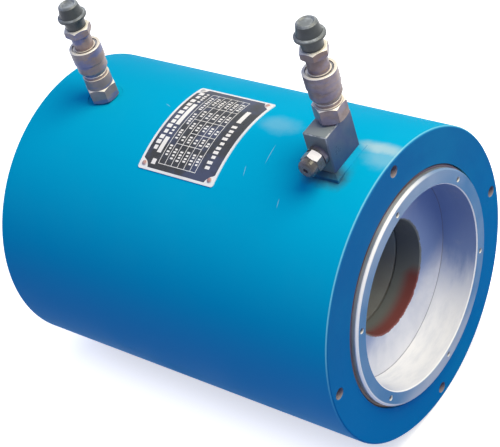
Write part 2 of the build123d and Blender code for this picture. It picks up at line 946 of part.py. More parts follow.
def nameplate():
    back_x = barrel_length - plate_from_face - plate_length
    strip = Pos(back_x, barrel_r + seat_gap, 0) * Rectangle(
        plate_length, plate_thick, align=(Align.MIN, Align.MIN)
    )
    # The strip lies over +Y, a quarter turn from the top
    plate = revolve(strip, Axis.X, plate_angle_back - plate_angle_front)
    plate = Rot(90 - plate_angle_back, 0, 0) * plate
    corners = plate.edges().filter_by(lambda edge: abs(edge.length - plate_thick) < seat_gap)
    plate = fillet(corners, plate_corner)
    hole = rod_z(-overrun, plate_thick + overrun, rivet_shank_d / 2 + seat_gap)
    return plate - [place * hole for place in rivet_places(barrel_r)]


def rivet_places(radius):
    inset = degrees(rivet_inset / barrel_r)
    near_x = barrel_length - plate_from_face - rivet_inset
    far_x = barrel_length - plate_from_face - plate_length + rivet_inset
    angles = (plate_angle_front + inset, plate_angle_back - inset)
    return [
        Pos(x, 0, 0) * Rot(-angle, 0, 0) * Pos(0, 0, radius)
        for x in (far_x, near_x)
        for angle in angles
    ]


def nameplate_rivets():
    head_r = rivet_head_d / 2
    dome_r = (head_r**2 + rivet_head_height**2) / (2 * rivet_head_height)
    dome = Pos(0, 0, rivet_head_height - dome_r) * Sphere(dome_r)
    rivet = dome & rod_z(0, rivet_head_height + overrun, rivet_head_d)
    rivet += rod_z(-plate_thick - rivet_shank_length, 0, rivet_shank_d / 2)
    return Compound([place * rivet for place in rivet_places(barrel_r + seat_gap + plate_thick)])


parts = {
    "barrel": barrel(),
    "centre_tube": centre_tube(),
    "tube_static_ring": tube_static_ring(),
    "gland_ring": gland_ring(),
    "seal_plate": seal_plate(),
    "plate_static_ring": plate_static_ring(),
    "rod_seal": rod_seal(),
    "rod_guide_ring": rod_guide_ring(),
    "wiper": wiper(),
    "ram": ram(),
    "piston_guide_rings": Compound(piston_guide_rings()),
    "piston_seal": piston_seal(),
    "inner_guide_ring": inner_guide_ring(),
    "inner_seal": inner_seal(),
    "valve_block": valve_block(),
    "block_foot_ring": block_foot_ring(),
    "relief_seat": relief_seat(),
    "relief_poppet": relief_poppet(),
    "relief_spring": relief_spring(),
    "relief_cap": relief_cap(),
    "nameplate": nameplate(),
    "nameplate_rivets": nameplate_rivets(),
}

nozzles = {
    "a": (port_a_x, port_a_seat, stem_a_length, adapter_hex_turn_a, adapter_neck_a, 0),
    "b": (port_b_x, block_top, stem_b_length, adapter_hex_turn_b, adapter_neck_b, -relief_height),
}
for letter, (x, seat, stem_length, hex_turn, neck_length, cross_hole_height) in nozzles.items():
    foot = Pos(x, 0, seat)
    socket = foot * Pos(0, 0, washer_thick + adapter_hex_height + neck_length)
    parts["adapter_" + letter] = foot * adapter(
        stem_length, hex_turn, neck_length, cross_hole_height
    )
    parts["sealing_washer_" + letter] = foot * sealing_washer()
    parts["socket_body_" + letter] = socket * socket_body()
    parts["coupler_sleeve_" + letter] = socket * coupler_sleeve()
    parts["lock_balls_" + letter] = socket * lock_balls()
    parts["sleeve_stop_ring_" + letter] = socket * sleeve_stop_ring()
    parts["sleeve_spring_" + letter] = socket * sleeve_spring()
    parts["nose_seal_" + letter] = socket * nose_seal()
    parts["socket_poppet_" + letter] = socket * socket_poppet()
    parts["socket_poppet_spring_" + letter] = socket * socket_poppet_spring()
    parts["plug_body_" + letter] = socket * plug_body()
    parts["plug_poppet_" + letter] = socket * plug_poppet()
    parts["plug_poppet_spring_" + letter] = socket * plug_poppet_spring()
    parts["plug_spring_seat_" + letter] = socket * plug_spring_seat()
    parts["dust_cap_" + letter] = socket * dust_cap()

os.makedirs("parts", exist_ok=True)
for name, shape in parts.items():
    export_step(shape, "parts/" + name + ".step")
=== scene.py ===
import json
from math import atan2, cos, pi, radians, sin, sqrt

import bpy
from mathutils import Matrix, Vector


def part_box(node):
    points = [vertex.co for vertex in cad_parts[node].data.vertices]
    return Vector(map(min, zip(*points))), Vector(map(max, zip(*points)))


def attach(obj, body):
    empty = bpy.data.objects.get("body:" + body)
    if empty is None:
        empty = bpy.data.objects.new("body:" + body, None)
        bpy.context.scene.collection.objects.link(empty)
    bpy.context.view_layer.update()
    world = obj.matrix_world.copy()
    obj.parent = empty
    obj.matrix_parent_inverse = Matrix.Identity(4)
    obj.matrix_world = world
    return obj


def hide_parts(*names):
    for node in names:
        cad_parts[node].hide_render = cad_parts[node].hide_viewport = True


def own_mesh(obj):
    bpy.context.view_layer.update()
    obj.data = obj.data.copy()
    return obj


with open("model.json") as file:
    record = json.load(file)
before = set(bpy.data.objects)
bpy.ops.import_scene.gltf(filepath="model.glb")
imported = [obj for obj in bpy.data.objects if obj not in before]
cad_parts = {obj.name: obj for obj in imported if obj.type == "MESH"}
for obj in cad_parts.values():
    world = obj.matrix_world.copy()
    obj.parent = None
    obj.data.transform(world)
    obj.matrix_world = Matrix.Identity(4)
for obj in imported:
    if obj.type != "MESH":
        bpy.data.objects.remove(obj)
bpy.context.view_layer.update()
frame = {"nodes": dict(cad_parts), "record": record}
nodes = frame["nodes"]
print("frame loaded:", len(nodes), "nodes")


def middleOf(node):
    low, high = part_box(node)
    return (low + high) / 2


# X runs from the base to the face, and the near side, which the photo shows, is the one at -Y
barrelLow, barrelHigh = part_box("barrel")
barrelRadius = barrelHigh.y
barrelFace = barrelHigh.x
nozzlePlace = {letter: middleOf("socket_body_" + letter) for letter in "ab"}


# Small helpers for node trees

def feed(tree, socket, value):
    if isinstance(value, bpy.types.NodeSocket):
        tree.links.new(value, socket)
    else:
        socket.default_value = value


def mathOf(tree, operation, *values):
    node = tree.nodes.new("ShaderNodeMath")
    node.operation = operation
    for socket, value in zip(node.inputs, values):
        feed(tree, socket, value)
    return node.outputs[0]


def plusOf(tree, first, second):
    return mathOf(tree, "ADD", first, second)


def minusOf(tree, first, second):
    return mathOf(tree, "SUBTRACT", first, second)


def timesOf(tree, first, *others):
    product = first
    for value in others:
        product = mathOf(tree, "MULTIPLY", product, value)
    return product


def overOf(tree, first, second):
    return mathOf(tree, "DIVIDE", first, second)


def spreadOf(tree, value, gain, shift):
    return mathOf(tree, "MULTIPLY_ADD", value, gain, shift)


def mostOf(tree, first, second):
    return mathOf(tree, "MAXIMUM", first, second)


def leastOf(tree, first, second):
    return mathOf(tree, "MINIMUM", first, second)


def sizeOf(tree, value):
    return mathOf(tree, "ABSOLUTE", value)


def isMore(tree, value, limit):
    return mathOf(tree, "GREATER_THAN", value, limit)


def isLess(tree, value, limit):
    return mathOf(tree, "LESS_THAN", value, limit)


def restOf(tree, mask):
    return minusOf(tree, 1.0, mask)


def fadeOf(tree, value, start, end, low=0.0, high=1.0):
    node = tree.nodes.new("ShaderNodeMapRange")
    node.interpolation_type = "SMOOTHSTEP"
    for socket, number in zip(node.inputs, (value, start, end, low, high)):
        feed(tree, socket, number)
    return node.outputs[0]


def pickOf(tree, mask, first, second):
    # As mixOf, for numbers
    return fadeOf(tree, mask, 0.0, 1.0, first, second)


def mixOf(tree, mask, first, second):
    node = tree.nodes.new("ShaderNodeMix")
    node.data_type = "RGBA"
    feed(tree, node.inputs[0], mask)
    feed(tree, node.inputs[6], first)
    feed(tree, node.inputs[7], second)
    return node.outputs[2]


def noiseOf(tree, vector, scale, detail=3.0, roughness=0.5):
    node = tree.nodes.new("ShaderNodeTexNoise")
    feed(tree, node.inputs["Vector"], vector)
    feed(tree, node.inputs["Scale"], scale)
    node.inputs["Detail"].default_value = detail
    node.inputs["Roughness"].default_value = roughness
    return node.outputs["Fac"]


def raggedOf(tree, place, scale, width, detail=4.0, roughness=0.6):
    # Noise on both sides of zero, to break the outline of a patch
    return spreadOf(tree, noiseOf(tree, place, scale, detail, roughness), width, -width / 2)


def partsOf(tree, vector):
    node = tree.nodes.new("ShaderNodeSeparateXYZ")
    feed(tree, node.inputs[0], vector)
    return node.outputs


def reachOf(tree, first, second):
    squares = [timesOf(tree, part, part) for part in (first, second)]
    return mathOf(tree, "SQRT", plusOf(tree, *squares))


def vectorOf(tree, x, y, z):
    node = tree.nodes.new("ShaderNodeCombineXYZ")
    for socket, value in zip(node.inputs, (x, y, z)):
        feed(tree, socket, value)
    return node.outputs[0]


def placeOf(tree):
    return tree.nodes.new("ShaderNodeTexCoord").outputs["Object"]


def facingOf(tree):
    return partsOf(tree, tree.nodes.new("ShaderNodeTexCoord").outputs["Normal"])


def aboutJackAxis(tree):
    # The jack's axis becomes Z, so that turned surfaces share one group
    x, y, z = partsOf(tree, placeOf(tree))
    return vectorOf(tree, y, z, x)


def aboutNozzleAxis(tree):
    # Both nozzles stand on y = 0, so the nearer one's axis is taken
    x, y, z = partsOf(tree, placeOf(tree))
    onB = isMore(tree, x, (nozzlePlace["a"].x + nozzlePlace["b"].x) / 2)
    centre = spreadOf(tree, onB, nozzlePlace["b"].x - nozzlePlace["a"].x, nozzlePlace["a"].x)
    return vectorOf(tree, minusOf(tree, x, centre), y, z)


def makeGroup(name, inputs, outputs):
    group = bpy.data.node_groups.new(name, "ShaderNodeTree")
    for label, kind, value in inputs:
        socket = group.interface.new_socket(label, in_out="INPUT", socket_type="NodeSocket" + kind)
        if value is not None:
            socket.default_value = value
    for label, kind in outputs:
        group.interface.new_socket(label, in_out="OUTPUT", socket_type="NodeSocket" + kind)
    given = group.nodes.new("NodeGroupInput").outputs
    return group, given, group.nodes.new("NodeGroupOutput").inputs


def placeGroup(tree, group, **values):
    node = tree.nodes.new("ShaderNodeGroup")
    node.node_tree = group
    for label, value in values.items():
        feed(tree, node.inputs[label], value)
    return node.outputs


# Shared effects

effects = {
    # metres of noise for each radian round the axis
    "aroundShare": 0.0012,
    "ringDetail": (4.0, 0.7),
    # smears are stretched outward, squeezed round the axis and coarser than the rings
    "smearShare": (0.3, 25.0),
    "smearCoarser": 12.0,
    "smearDetail": (3.0, 0.6),
    "stainDetail": (5.0, 0.6),
    "holeEdge": 1.06,
}


def makeTurnedMarks():
    # Fine rings left by the lathe, round the Z axis of the vector, and wider smears along them
    group, given, out = makeGroup(
        "turnedMarks",
        [("Vector", "Vector", None), ("Fineness", "Float", 900.0)],
        [("Rings", "Float"), ("Smear", "Float")],
    )
    x, y, z = partsOf(group, given["Vector"])
    radius = reachOf(group, x, y)
    around = timesOf(group, mathOf(group, "ARCTAN2", y, x), effects["aroundShare"])
    flat = vectorOf(group, radius, z, around)
    rings = noiseOf(group, flat, given["Fineness"], *effects["ringDetail"])
    group.links.new(rings, out["Rings"])
    outward, along = effects["smearShare"]
    wide = vectorOf(group, timesOf(group, radius, outward), z, timesOf(group, around, along))
    coarse = overOf(group, given["Fineness"], effects["smearCoarser"])
    group.links.new(noiseOf(group, wide, coarse, *effects["smearDetail"]), out["Smear"])
    return group


def makeStains():
    # Patches of dust or tarnish, and the soft cloud that they are cut from
    group, given, out = makeGroup(
        "stains",
        [("Vector", "Vector", None), ("Scale", "Float", 20.0),
         ("Start", "Float", 0.5), ("End", "Float", 0.6)],
        [("Mask", "Float"), ("Soft", "Float")],
    )
    cloud = noiseOf(group, given["Vector"], given["Scale"], *effects["stainDetail"])
    group.links.new(fadeOf(group, cloud, given["Start"], given["End"]), out["Mask"])
    group.links.new(cloud, out["Soft"])
    return group


def makeHoleCircle():
    # One inside and round the holes that stand on a circle about Z
    group, given, out = makeGroup(
        "holeCircle",
        [("Vector", "Vector", None), ("Count", "Float", 4.0), ("Circle", "Float", 0.1),
         ("Hole", "Float", 0.005), ("Turn", "Float", 0.0)],
        [("Mask", "Float")],
    )
    x, y, z = partsOf(group, given["Vector"])
    radius = reachOf(group, x, y)
    half = overOf(group, pi, given["Count"])
    angle = minusOf(group, mathOf(group, "ARCTAN2", x, y), given["Turn"])
    off = mathOf(group, "WRAP", angle, half, timesOf(group, half, -1.0))
    aside = timesOf(group, radius, mathOf(group, "SINE", off))
    outward = timesOf(group, radius, mathOf(group, "COSINE", off))
    away = reachOf(group, aside, minusOf(group, outward, given["Circle"]))
    edge = timesOf(group, given["Hole"], effects["holeEdge"])
    group.links.new(fadeOf(group, away, edge, given["Hole"]), out["Mask"])
    return group


turnedMarks = makeTurnedMarks()
stains = makeStains()
holeCircle = makeHoleCircle()
print("shared effects built")


def stainOf(tree, place, scale, start, end):
    return placeGroup(tree, stains, Vector=place, Scale=scale, Start=start, End=end)


def holesOf(tree, count, recipe):
    return placeGroup(
        tree, holeCircle, Vector=aboutJackAxis(tree), Count=count,
        Circle=recipe["holeCircle"], Hole=recipe["holeRadius"], Turn=recipe["holeTurn"],
    )["Mask"]


def upwardOf(tree, start, end):
    return fadeOf(tree, facingOf(tree)[2], start, end)


def startMaterial(name):
    material = bpy.data.materials.new(name)
    material.use_nodes = True
    tree = material.node_tree
    return material, tree, tree.nodes["Principled BSDF"]


def roughen(tree, shader, cloud, smooth, dull):
    # Noise seldom leaves the stretch from 0.3 to 0.7
    feed(tree, shader.inputs["Roughness"], fadeOf(tree, cloud, 0.3, 0.7, smooth, dull))


def emboss(tree, shader, height, depth):
    node = tree.nodes.new("ShaderNodeBump")
    node.inputs["Distance"].default_value = depth
    feed(tree, node.inputs["Height"], height)
    feed(tree, shader.inputs["Normal"], node.outputs[0])


def grain(tree, shader, place, scale, depth):
    emboss(tree, shader, noiseOf(tree, place, scale), depth)


def coat(material, *names):
    for name in names:
        mesh = nodes[name].data
        mesh.materials.clear()
        mesh.materials.append(material)


# Enamel of the barrel and of the ring that closes it

enamel = {
    "side": (0.0, 0.41, 0.70, 1),
    # painted shade: a violet tint low on the side, and a darker blue at the foot
    "sideShadeTint": (0.06, 0.40, 0.71, 1),
    "foot": (0.08, 0.33, 0.64, 1),
    # painted shade: darker copies of the blue for the front face
    "faceShadeHigh": (0.012, 0.16, 0.42, 1),
    "faceShadeLow": (0.0, 0.20, 0.52, 1),
    "dusty": (0.02, 0.45, 0.70, 1),
    "hole": (0.32, 0.28, 0.32, 1),
    "rubbed": (0.42, 0.62, 0.72, 1),
    # painted highlight on the rounded front edge
    "edge": (0.22, 0.62, 0.80, 1),
    # painted reflection in pale patches
    "reflection": (0.50, 0.66, 0.72, 1),
    # painted shadow at the foot of the valve block
    "blockShadow": (0.045, 0.060, 0.085, 1),
    "roughness": (0.50, 0.62),
    "shine": 0.02,
    # the heights between which one colour gives way to the next
    "faceHeights": (-0.08, 0.12),
    "sideShadeHeights": (0.07, -0.03),
    "footShadeHeights": (-0.07, -0.125),
    "edgeHighlightHeights": (-0.02, 0.06),
    "edgeHighlightShares": (0.1, 0.8),
    # distances behind the face
    "faceFade": (0.0012, 0.0004),
    "edgeWidth": 0.0015,
    "holeStart": 0.0003,
    "holeDeep": 0.04,
    "holeCircle": 0.132,
    "holeRadius": 0.0051,
    "holeTurn": radians(2),
    # scale of the patches, and the noise between which they begin and are full
    "dust": (9.0, 0.45, 0.75),
    "dustShare": 0.16,
    "peel": (260.0, 2.0, 0.5),
    "peelDepth": 0.00006,
    # place along the jack, degrees from the top towards the near side, length, lean
    "scratches": [
        (0.2637, 7.2, 0.012, 84),
        (0.250, 16, 0.006, 75),
        (0.133, -3, 0.004, 20),
        (0.295, 24, 0.005, 80),
    ],
    "scratchWidth": 0.00045,
    "scratchTaper": 0.3,
    "scratchShare": 0.6,
    # place along the jack, degrees from the top, half length, half width, strength
    "reflectionPatches": [
        (0.354, -7.0, 0.028, 0.009, 0.72),
        (0.360, -2.5, 0.018, 0.014, 0.30),
        (0.250, -6.8, 0.022, 0.013, 0.22),
    ],
    "reflectionRagged": (60.0, 0.9),
    "reflectionFade": (1.25, 0.25),
    "blockShadowRagged": (180.0, 0.006),
    "blockShadowReach": 0.0145,
    "blockShadowThick": 0.95,
    "blockShadowFrom": 0.016,
    "blockShadowShares": (0.15, 1.0),
}


def onBarrel(tree, place):
    # Place along the jack, and round it from the top towards the near side, in metres
    x, y, z = partsOf(tree, place)
    turn = mathOf(tree, "ARCTAN2", timesOf(tree, y, -1.0), z)
    return x, timesOf(tree, turn, barrelRadius)


def paintedReflectionMask(tree, place):
    # Painted reflection: pale patches, which melt into the paint round them
    x, arc = onBarrel(tree, place)
    ragged = raggedOf(tree, place, *enamel["reflectionRagged"])
    total = 0.0
    for centre, angle, halfLong, halfWide, strength in enamel["reflectionPatches"]:
        along = overOf(tree, minusOf(tree, x, centre), halfLong)
        around = overOf(tree, minusOf(tree, arc, radians(angle) * barrelRadius), halfWide)
        away = plusOf(tree, reachOf(tree, along, around), ragged)
        patch = fadeOf(tree, away, *enamel["reflectionFade"], 0.0, strength)
        total = mostOf(tree, total, patch)
    return total


def paintedShadowMask(tree, place):
    # Painted shadow at the foot of the valve block, darkest on its near side
    x, y, z = partsOf(tree, place)
    low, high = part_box("valve_block")
    gaps = []
    for part, start, end in ((x, low.x, high.x), (y, low.y, high.y)):
        off = sizeOf(tree, minusOf(tree, part, (start + end) / 2))
        gaps.append(mostOf(tree, minusOf(tree, off, (end - start) / 2), 0.0))
    away = plusOf(tree, reachOf(tree, *gaps), raggedOf(tree, place, *enamel["blockShadowRagged"]))
    thick = fadeOf(tree, away, enamel["blockShadowReach"], 0.0, 0.0, enamel["blockShadowThick"])
    near = fadeOf(tree, y, low.y + enamel["blockShadowFrom"], low.y, *enamel["blockShadowShares"])
    return timesOf(tree, thick, near)


def scratchMask(tree, place):
    x, arc = onBarrel(tree, place)
    total = 0.0
    for centre, angle, length, lean in enamel["scratches"]:
        offX = minusOf(tree, x, centre)
        offArc = minusOf(tree, arc, radians(angle) * barrelRadius)
        straight, slant = cos(radians(lean)), sin(radians(lean))
        along = spreadOf(tree, offX, straight, timesOf(tree, offArc, slant))
        across = spreadOf(tree, offX, -slant, timesOf(tree, offArc, straight))
        near = fadeOf(tree, sizeOf(tree, along), length, length * enamel["scratchTaper"])
        thin = fadeOf(tree, sizeOf(tree, across), enamel["scratchWidth"], 0.0)
        total = mostOf(tree, total, timesOf(tree, near, thin))
    return total


def paintBlue():
    material, tree, shader = startMaterial("blueEnamel")
    place = placeOf(tree)
    x, y, z = partsOf(tree, place)
    behind = minusOf(tree, barrelFace, x)
    onFace = fadeOf(tree, behind, *enamel["faceFade"])
    offFace = restOf(tree, onFace)
    # Painted shade: the front face is given a darker copy of the blue, darkest towards its top
    face = mixOf(tree, fadeOf(tree, z, *enamel["faceHeights"]), enamel["faceShadeLow"], enamel["faceShadeHigh"])
    # Painted shade: the side takes a violet tint lower down, and a darker blue near the bottom
    side = mixOf(tree, fadeOf(tree, z, *enamel["sideShadeHeights"]), enamel["side"], enamel["sideShadeTint"])
    side = mixOf(tree, fadeOf(tree, z, *enamel["footShadeHeights"]), side, enamel["foot"])
    colour = mixOf(tree, onFace, side, face)
    # Painted highlight: the rounded edge between side and face is paler at the top, as if catching
    # the light
    onEdgeHighlight = fadeOf(tree, behind, 1.2 * enamel["edgeWidth"], enamel["edgeWidth"])
    lit = fadeOf(tree, z, *enamel["edgeHighlightHeights"], *enamel["edgeHighlightShares"])
    colour = mixOf(tree, timesOf(tree, onEdgeHighlight, offFace, lit), colour, enamel["edge"])
    # Painted reflection in pale patches on the top of the barrel
    colour = mixOf(tree, timesOf(tree, paintedReflectionMask(tree, place), offFace), colour, enamel["reflection"])
    # Painted shadow at the foot of the valve block
    colour = mixOf(tree, paintedShadowMask(tree, place), colour, enamel["blockShadow"])
    cloud = stainOf(tree, place, *enamel["dust"])
    dust = timesOf(tree, cloud["Mask"], enamel["dustShare"])
    colour = mixOf(tree, dust, colour, enamel["dusty"])
    scratched = timesOf(tree, scratchMask(tree, place), enamel["scratchShare"])
    colour = mixOf(tree, scratched, colour, enamel["rubbed"])
    below = isMore(tree, behind, enamel["holeStart"])
    near = isLess(tree, behind, enamel["holeDeep"])
    inHole = timesOf(tree, holesOf(tree, 4.0, enamel), below, near)
    colour = mixOf(tree, inHole, colour, enamel["hole"])
    feed(tree, shader.inputs["Base Color"], colour)
    roughen(tree, shader, cloud["Soft"], *enamel["roughness"])
    shader.inputs["Specular IOR Level"].default_value = enamel["shine"]
    emboss(tree, shader, noiseOf(tree, place, *enamel["peel"]), enamel["peelDepth"])
    return material


# Bare steel of the ram, turned all over

ramSteel = {
    "bright": (0.84, 0.85, 0.90, 1),
    "grey": (0.74, 0.76, 0.83, 1),
    "warm": (0.74, 0.66, 0.60, 1),
    # painted shade in the recess's upper half
    "shade": (0.24, 0.33, 0.56, 1),
    "rod": (0.56, 0.57, 0.60, 1),
    "rodDull": (0.44, 0.45, 0.48, 1),
    "ring": (0.030, 0.175, 0.40, 1),
    # pale painted reflection on the ring
    "ringReflection": (0.34, 0.42, 0.56, 1),
    # painted highlight on edges, and inside the holes near their mouths
    "edge": (0.95, 0.95, 0.96, 1),
    # painted shade inside the holes
    "hole": (0.10, 0.10, 0.12, 1),
    # painted shade in the recess's corner
    "corner": (0.22, 0.22, 0.30, 1),
    "primer": (0.22, 0.065, 0.062, 1),
    "primerGrey": (0.19, 0.205, 0.20, 1),
    "roughness": (0.32, 0.50),
    "shine": 0.25,
    "metal": 0.10,
    "rodMetal": 0.75,
    "fineness": 1500.0,
    "greySmear": (0.35, 0.7),
    "ringDepth": 0.00003,
    # sizes of the ram
    "radius": 0.1065,
    "chamfer": 0.0015,
    "frontReach": 0.0024,
    "seatRadius": 0.0925,
    "seatDepth": 0.036,
    "seatEdge": 0.002,
    "lipRadius": 0.0527,
    "holeCircle": 0.099,
    "holeRadius": 0.0025,
    "holeTurn": radians(-6),
    "holeStart": 0.0001,
    "holeFade": (0.0028, 0.0008),
    # the recess: strength of its streaks, and where its wall and floor turn from painted shade to
    # pale painted light
    "streak": 0.4,
    "floorStreak": 0.02,
    "floorEdge": 0.0005,
    "wallFade": (0.36, 0.88),
    "floorFade": (-0.022, -0.060),
    "warmth": (22.0, 0.52, 0.74),
    "warmShare": 0.22,
    "cornerWidth": 0.0009,
    "cornerShare": 0.8,
    # the ring in front: distances behind its face, and heights where it has a pale painted reflection
    "ringFade": (0.0008, 0.0004),
    "ringHigh": (0.04, 0.10),
    "ringReflectionShare": 0.55,
    "ringLow": (-0.07, -0.098),
    "mouthWidth": 0.0011,
    "mouthHighlight": 0.0005,
    "rimLean": 0.6,
    "rimFade": (0.0, 0.06),
    # primer, brushed round the strand hole
    "primerReach": 0.0016,
    "primerEdge": 0.0006,
    "primerRagged": (160.0, 0.005, 5.0, 0.7),
    "primerHeights": (-0.038, -0.026),
    "primerDeep": (0.006, 0.020),
}


def recessShade(tree, z, behind, smear):
    # Painted shade and light: the recess is bluer and darker in its upper half, and its wall and
    # floor turn pale towards the bottom
    streak = spreadOf(tree, smear, ramSteel["streak"], -ramSteel["streak"] / 2)
    down = plusOf(tree, overOf(tree, z, -ramSteel["seatRadius"]), streak)
    wall = fadeOf(tree, down, *ramSteel["wallFade"])
    height = spreadOf(tree, streak, ramSteel["floorStreak"], z)
    floor = fadeOf(tree, height, *ramSteel["floorFade"])
    onFloor = isMore(tree, behind, ramSteel["seatDepth"] - ramSteel["floorEdge"])
    return pickOf(tree, onFloor, wall, floor)


def cornerShade(tree, radius, behind):
    # Painted shade: a dark line in the corner between the recess's wall and its floor
    offFloor = minusOf(tree, ramSteel["seatDepth"], behind)
    offWall = minusOf(tree, ramSteel["seatRadius"], radius)
    line = fadeOf(tree, reachOf(tree, offFloor, offWall), ramSteel["cornerWidth"], 0.0)
    return timesOf(tree, line, ramSteel["cornerShare"])


def ringWithReflection(tree, z):
    # Painted reflection: the ring is pale at its top and at its bottom
    high = fadeOf(tree, z, *ramSteel["ringHigh"], 0.0, ramSteel["ringReflectionShare"])
    low = fadeOf(tree, z, *ramSteel["ringLow"])
    return mixOf(tree, mostOf(tree, high, low), ramSteel["ring"], ramSteel["ringReflection"])


def paintedEdgeHighlights(tree, y, z, radius, behind, atFront):
    # Painted highlights: the mouth's edge is bright all round, the outer one only at the top and the
    # near side
    mouthStart, mouthWidth = ramSteel["seatRadius"], ramSteel["mouthWidth"]
    mouth = fadeOf(tree, radius, mouthStart + mouthWidth, mouthStart + ramSteel["mouthHighlight"])
    mouth = timesOf(tree, mouth, isLess(tree, behind, mouthWidth))
    rimEnd = ramSteel["radius"] - ramSteel["chamfer"]
    rim = fadeOf(tree, radius, rimEnd - ramSteel["chamfer"], rimEnd)
    upAndNear = spreadOf(tree, y, -1.0, timesOf(tree, z, ramSteel["rimLean"]))
    rim = timesOf(tree, rim, fadeOf(tree, upAndNear, *ramSteel["rimFade"]), atFront)
    return mostOf(tree, mouth, rim)


def brushedPrimer(tree, place, z, radius, behind):
    # Primer round the strand hole, red low down at the front, and grey above and behind
    outer = ramSteel["lipRadius"] + ramSteel["primerReach"]
    ragged = raggedOf(tree, place, *ramSteel["primerRagged"])
    mask = fadeOf(tree, plusOf(tree, radius, ragged), outer, outer - ramSteel["primerEdge"])
    above = fadeOf(tree, z, *ramSteel["primerHeights"])
    start, end = (ramSteel["seatDepth"] + depth for depth in ramSteel["primerDeep"])
    greyness = leastOf(tree, plusOf(tree, above, fadeOf(tree, behind, start, end)), 1.0)
    return mask, mixOf(tree, greyness, ramSteel["primer"], ramSteel["primerGrey"])


def dressRam():
    material, tree, shader = startMaterial("turnedRamSteel")
    place = placeOf(tree)
    x, y, z = partsOf(tree, place)
    radius = reachOf(tree, y, z)
    behind = minusOf(tree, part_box("ram")[1].x, x)
    outside = restOf(tree, isLess(tree, radius, ramSteel["seatRadius"] + ramSteel["seatEdge"]))
    atFront = isLess(tree, behind, ramSteel["frontReach"])
    fineness = ramSteel["fineness"]
    marks = placeGroup(tree, turnedMarks, Vector=aboutJackAxis(tree), Fineness=fineness)
    dull = fadeOf(tree, marks["Smear"], *ramSteel["greySmear"])
    colour = mixOf(tree, dull, ramSteel["bright"], ramSteel["grey"])
    # Painted shade in the recess's upper half, and pale painted light below
    unshaded = mostOf(tree, recessShade(tree, z, behind, marks["Smear"]), outside)
    colour = mixOf(tree, unshaded, ramSteel["shade"], colour)
    # The rod is ground plain outside, behind its front edge
    onRod = timesOf(tree, outside, restOf(tree, atFront))
    rod = mixOf(tree, marks["Smear"], ramSteel["rod"], ramSteel["rodDull"])
    colour = mixOf(tree, onRod, colour, rod)
    warm = stainOf(tree, place, *ramSteel["warmth"])["Mask"]
    colour = mixOf(tree, timesOf(tree, warm, ramSteel["warmShare"]), colour, ramSteel["warm"])
    colour = mixOf(tree, cornerShade(tree, radius, behind), colour, ramSteel["corner"])
    onRing = fadeOf(tree, behind, *ramSteel["ringFade"])
    onRing = mostOf(tree, onRing, timesOf(tree, outside, atFront))
    colour = mixOf(tree, onRing, colour, ringWithReflection(tree, z))
    edgeHighlights = paintedEdgeHighlights(tree, y, z, radius, behind, atFront)
    colour = mixOf(tree, edgeHighlights, colour, ramSteel["edge"])
    # Painted shade and highlight: the holes are dark inside and bright near their mouths
    inHole = timesOf(tree, holesOf(tree, 6.0, ramSteel), isMore(tree, behind, ramSteel["holeStart"]))
    holeMouthHighlight = fadeOf(tree, behind, *ramSteel["holeFade"])
    colour = mixOf(tree, inHole, colour, mixOf(tree, holeMouthHighlight, ramSteel["hole"], ramSteel["edge"]))
    primed, primerColour = brushedPrimer(tree, place, z, radius, behind)
    colour = mixOf(tree, primed, colour, primerColour)
    feed(tree, shader.inputs["Base Color"], colour)
    shader.inputs["Specular IOR Level"].default_value = ramSteel["shine"]
    metal = pickOf(tree, onRod, ramSteel["metal"], ramSteel["rodMetal"])
    feed(tree, shader.inputs["Metallic"], timesOf(tree, metal, restOf(tree, primed)))
    roughen(tree, shader, marks["Smear"], *ramSteel["roughness"])
    emboss(tree, shader, marks["Rings"], ramSteel["ringDepth"])
    return material


# Dull grey scale inside the centre tube, with a reddish tinge low down near the ram

tubeBore = {
    "reddish": (0.24, 0.22, 0.21, 1),
    "grey": (0.32, 0.36, 0.35, 1),
    "roughness": (0.50, 0.75),
    "patches": (18.0, 0.4, 0.7),
    "patchShare": 0.6,
    "greyFrom": (0.31, 0.22),
    "greyHeights": (-0.045, -0.010),
    "grain": (300.0, 0.0001),
}


def dressTube():
    material, tree, shader = startMaterial("redPrimer")
    place = placeOf(tree)
    cloud = stainOf(tree, place, *tubeBore["patches"])
    x, y, z = partsOf(tree, place)
    deep = fadeOf(tree, x, *tubeBore["greyFrom"])
    above = fadeOf(tree, z, *tubeBore["greyHeights"])
    patchy = timesOf(tree, cloud["Mask"], tubeBore["patchShare"])
    greyness = mostOf(tree, patchy, mostOf(tree, deep, above))
    colour = mixOf(tree, greyness, tubeBore["reddish"], tubeBore["grey"])
    feed(tree, shader.inputs["Base Color"], colour)
    roughen(tree, shader, cloud["Soft"], *tubeBore["roughness"])
    grain(tree, shader, place, *tubeBore["grain"])
    return material


# Zinc-plated steel of the nozzles

zinc = {
    "bright": (0.36, 0.275, 0.26, 1),
    "brown": (0.17, 0.105, 0.095, 1),
    # painted reflection in bands
    "blue": (0.13, 0.16, 0.36, 1),
    # painted light on faces that point up
    "top": (0.95, 0.90, 0.82, 1),
    "roughness": (0.28, 0.46),
    "metal": 0.10,
    "tarnish": (38.0, 0.36, 0.64),
    "bands": (85.0, 0.47, 0.58),
    "reflectionBandShare": 0.30,
    "litTopFacing": (0.30, 0.75),
    "litTopShare": 0.94,
    "ringDepth": 0.00002,
    "bodyFineness": 2200.0,
    "sleeveFineness": 1800.0,
    # share of brown tarnish and of painted blue reflection in each nozzle
    "shares": {"a": (0.55, 0.75), "b": (0.90, 0.35)},
    "bodyLessBrown": 0.1,
}


